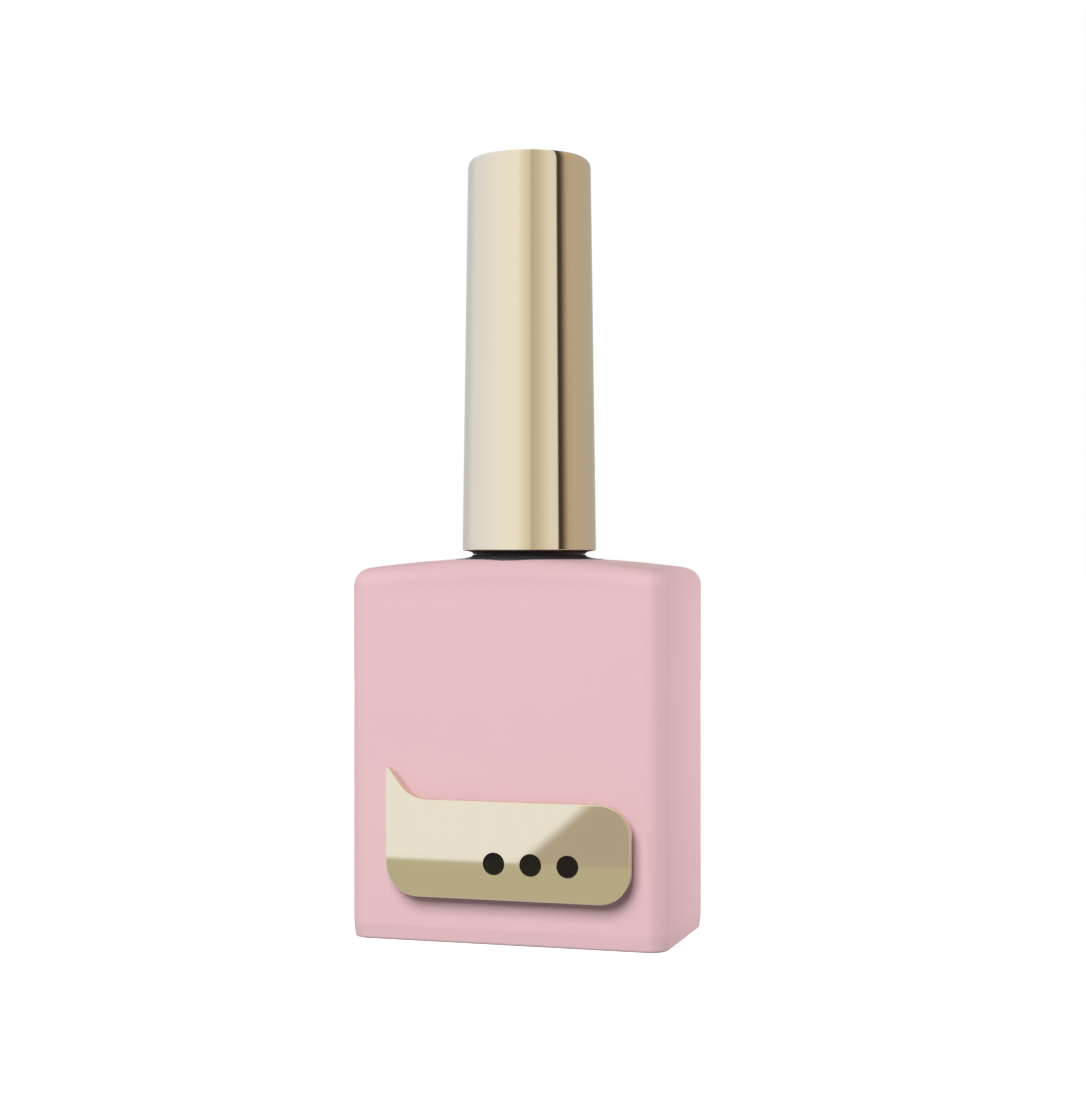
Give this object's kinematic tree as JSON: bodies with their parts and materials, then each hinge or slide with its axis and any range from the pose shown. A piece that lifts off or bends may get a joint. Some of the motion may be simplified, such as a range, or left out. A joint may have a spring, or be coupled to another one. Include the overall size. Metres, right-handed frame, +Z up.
{
  "type": "nail polish bottle",
  "caption": "Rectangular coated glass bottle with a domed shoulder, threaded neck, tall tapered metal cap with a fixed brush, and a raised metal badge on the front.",
  "frame": {"origin": "on the neck's axis, in the plane that the bottle stands on", "axes": "+Z up along the neck and cap, -Y towards the badge (front), +X to the right as seen from the front"},
  "size_m": [0.0384, 0.0224, 0.0927],
  "materials": {
    "black_glass": "glossy opaque black moulded glass",
    "pink_lacquer": "matt soft-touch sprayed coating",
    "label_paper": "plain paper sticker",
    "ball_steel": "polished stainless steel",
    "pad_foam": "grey foam tape, sticky on both sides",
    "badge_gold": "polished pale gold plating",
    "badge_enamel": "black filled enamel",
    "cap_gold": "polished champagne-gold anodising",
    "closure_plastic": "black polypropylene",
    "weight_steel": "turned zinc-plated steel",
    "stem_plastic": "black polyethylene",
    "bristle_nylon": "nylon bristles",
    "anchor_wire": "stainless wire",
    "washer_plastic": "natural polyethylene foam"
  },
  "bodies": {
    "bottle": {"glass_bottle": "black_glass", "lacquer_coat": "pink_lacquer", "base_label": "label_paper", "badge_adhesive": "pad_foam", "badge_plate": "badge_gold", "badge_inlay": "badge_enamel"},
    "ball_1": {"mixing_ball_1": "ball_steel"},
    "ball_2": {"mixing_ball_2": "ball_steel"},
    "seal": {"seal_washer": "washer_plastic"},
    "weight": {"cap_weight": "weight_steel"},
    "cap": {"outer_cap": "cap_gold", "inner_cap": "closure_plastic", "brush_stem": "stem_plastic", "bristle_tuft": "bristle_nylon", "tuft_anchor": "anchor_wire"}
  },
  "joints": [
    {"name": "cap_lift", "type": "slide", "parent": "bottle", "child": "seal", "axis": [0, 0, 1], "range_m": [0, 0.06]},
    {"name": "cap_rise", "type": "slide", "parent": "seal", "child": "weight", "axis": [0, 0, 1], "range_m": [0, 0.00423]},
    {"name": "cap_turn", "type": "hinge", "parent": "weight", "child": "cap", "pos_m": [0, 0, 0.0456], "axis": [0, 0, 1], "range_deg": [0, 720]},
    {"name": "ball_1_roll", "type": "slide", "parent": "bottle", "child": "ball_1", "axis": [1, 0, 0], "range_m": [-0.0045, 0.004]},
    {"name": "ball_2_roll", "type": "slide", "parent": "bottle", "child": "ball_2", "axis": [1, 0, 0], "range_m": [-0.004, 0.0045]}
  ],
  "couplings": [
    {"joint": "cap_rise", "follows": "cap_turn", "m_per_rad": 0.00033688}
  ]
}
